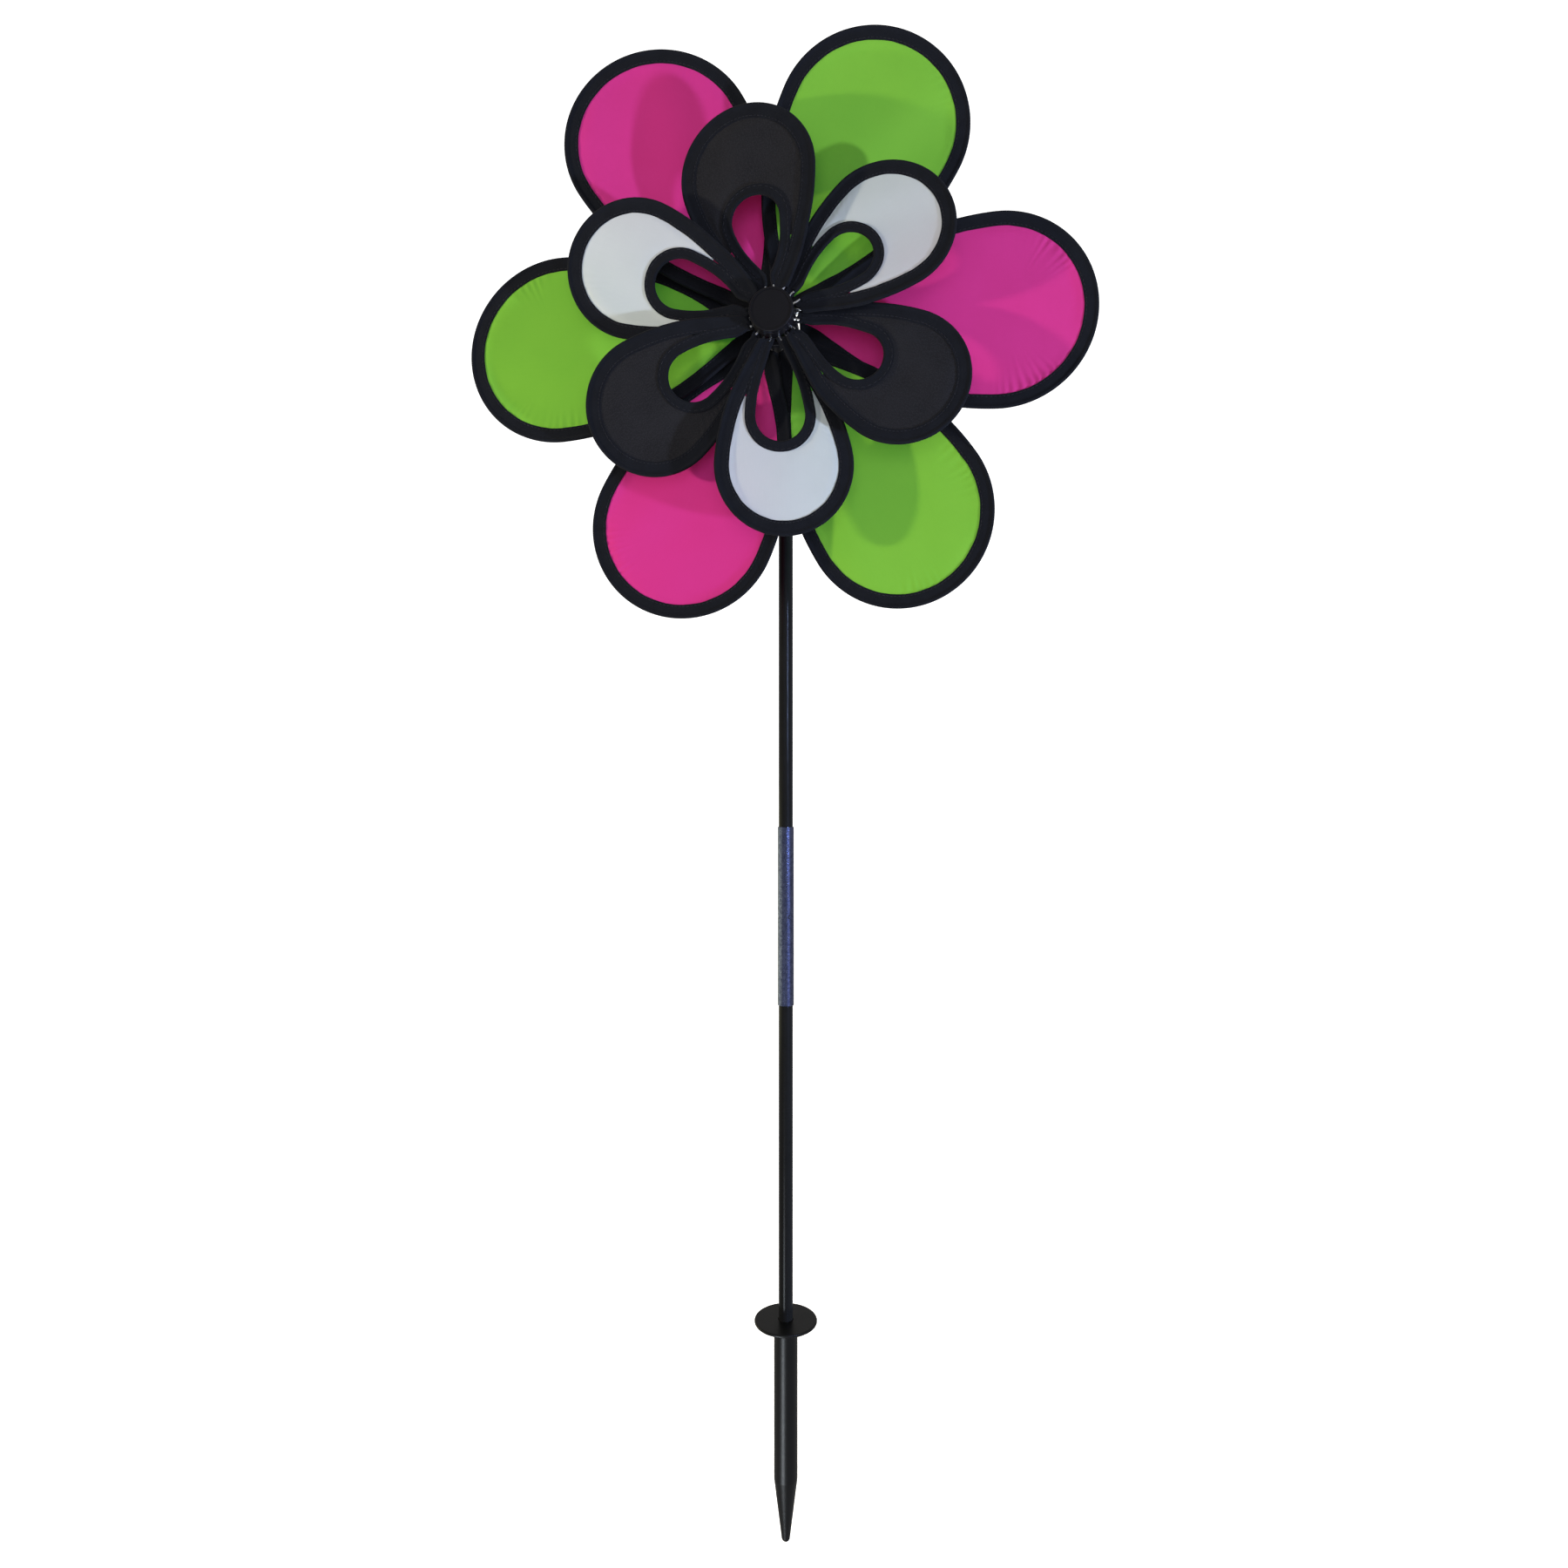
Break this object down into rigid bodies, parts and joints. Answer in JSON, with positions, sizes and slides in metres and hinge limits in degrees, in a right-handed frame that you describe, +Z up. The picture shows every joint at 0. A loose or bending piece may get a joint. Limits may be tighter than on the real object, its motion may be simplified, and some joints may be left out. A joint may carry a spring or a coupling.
{
  "type": "garden wind spinner",
  "caption": "Fabric flower wind spinner with two counter-turning petal rings on a slender two-piece pole with a plug-in ground stake.",
  "frame": {"origin": "on the pole's axis at ground level, the underside of the stake's step flange", "axes": "+Z up the pole; the flowers face -Y, and +X is to the right for someone who looks at them from the front"},
  "size_m": [0.3938, 0.0956, 0.9731],
  "materials": {
    "green_nylon": "ripstop nylon, slightly translucent",
    "magenta_nylon": "ripstop nylon, slightly translucent",
    "black_nylon": "ripstop nylon",
    "white_nylon": "ripstop nylon, slightly translucent",
    "binding_tape": "woven ribbon",
    "spring_wire": "bright drawn wire",
    "stake_plastic": "satin moulded",
    "hub_plastic": "satin moulded",
    "pole_coating": "gloss black coating",
    "ferrule_metal": "satin, darkened",
    "bush_nylon": "natural nylon",
    "zinc_steel": "zinc plated"
  },
  "bodies": {
    "stake": {"ground_stake": "stake_plastic"},
    "lower_pole": {"lower_pole": "pole_coating"},
    "ferrule": {"pole_ferrule": "ferrule_metal"},
    "head": {"upper_pole": "pole_coating", "head_fitting": "hub_plastic", "axle_bolt": "zinc_steel", "axle_spacer": "zinc_steel", "rear_washer": "zinc_steel", "middle_collar": "zinc_steel", "front_washer": "zinc_steel", "lock_nut": "zinc_steel"},
    "rear_flower": {"rear_bush": "bush_nylon", "rear_hoop_1": "spring_wire", "rear_hoop_2": "spring_wire", "rear_hoop_3": "spring_wire", "rear_hoop_4": "spring_wire", "rear_hoop_5": "spring_wire", "rear_hoop_6": "spring_wire", "rear_hub": "hub_plastic", "rear_panel_1": "green_nylon", "rear_panel_2": "magenta_nylon", "rear_panel_3": "green_nylon", "rear_panel_4": "magenta_nylon", "rear_panel_5": "green_nylon", "rear_panel_6": "magenta_nylon", "rear_tape_1": "binding_tape", "rear_tape_2": "binding_tape", "rear_tape_3": "binding_tape", "rear_tape_4": "binding_tape", "rear_tape_5": "binding_tape", "rear_tape_6": "binding_tape"},
    "front_flower": {"cutout_hoops": "spring_wire", "cutout_tape_1": "binding_tape", "cutout_tape_2": "binding_tape", "cutout_tape_3": "binding_tape", "cutout_tape_4": "binding_tape", "cutout_tape_5": "binding_tape", "cutout_tape_6": "binding_tape", "front_bush": "bush_nylon", "front_hoop_1": "spring_wire", "front_hoop_2": "spring_wire", "front_hoop_3": "spring_wire", "front_hoop_4": "spring_wire", "front_hoop_5": "spring_wire", "front_hoop_6": "spring_wire", "front_hub": "hub_plastic", "front_panel_1": "black_nylon", "front_panel_2": "white_nylon", "front_panel_3": "black_nylon", "front_panel_4": "white_nylon", "front_panel_5": "black_nylon", "front_panel_6": "white_nylon", "front_tape_1": "binding_tape", "front_tape_2": "binding_tape", "front_tape_3": "binding_tape", "front_tape_4": "binding_tape", "front_tape_5": "binding_tape", "front_tape_6": "binding_tape", "hub_cap": "hub_plastic"}
  },
  "joints": [
    {"name": "pole_pulls_from_stake", "type": "slide", "parent": "stake", "child": "lower_pole", "axis": [0, 0, 1], "range_m": [0, 0.085]},
    {"name": "ferrule_pulls_off", "type": "slide", "parent": "lower_pole", "child": "ferrule", "axis": [0, 0, 1], "range_m": [0, 0.055]},
    {"name": "head_aim", "type": "hinge", "parent": "ferrule", "child": "head", "pos_m": [0, 0, 0.3], "axis": [0, 0, 1], "continuous": true},
    {"name": "rear_flower_spin", "type": "hinge", "parent": "head", "child": "rear_flower", "pos_m": [0, -0.049, 0.644], "axis": [0, -1, 0], "continuous": true},
    {"name": "front_flower_spin", "type": "hinge", "parent": "head", "child": "front_flower", "pos_m": [0, -0.066, 0.644], "axis": [0, -1, 0], "continuous": true}
  ]
}
